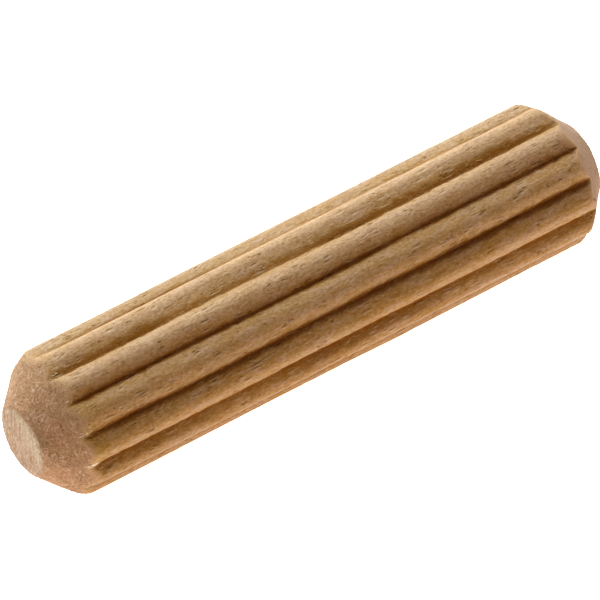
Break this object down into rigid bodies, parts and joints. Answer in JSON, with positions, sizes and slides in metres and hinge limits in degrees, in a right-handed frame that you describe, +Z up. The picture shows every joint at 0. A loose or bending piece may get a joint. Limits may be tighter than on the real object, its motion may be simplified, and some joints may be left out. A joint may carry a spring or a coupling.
{
  "type": "dowel pin",
  "caption": "Short fluted wooden dowel pin with rounded lengthwise ribs and a chamfer at each end, for gluing two boards together.",
  "frame": {"origin": "centre of the pin, on its axis, half way between the end faces", "axes": "+X along the pin, +Z up with a groove straight up and another straight down, so that the pin lies on the two ribs either side of the lower groove"},
  "size_m": [0.035, 0.0078, 0.0078],
  "materials": {
    "beech": "raw pressed beech, matt, with fine grain and short dark pores"
  },
  "bodies": {
    "root": {"dowel_pin": "beech"}
  },
  "joints": []
}
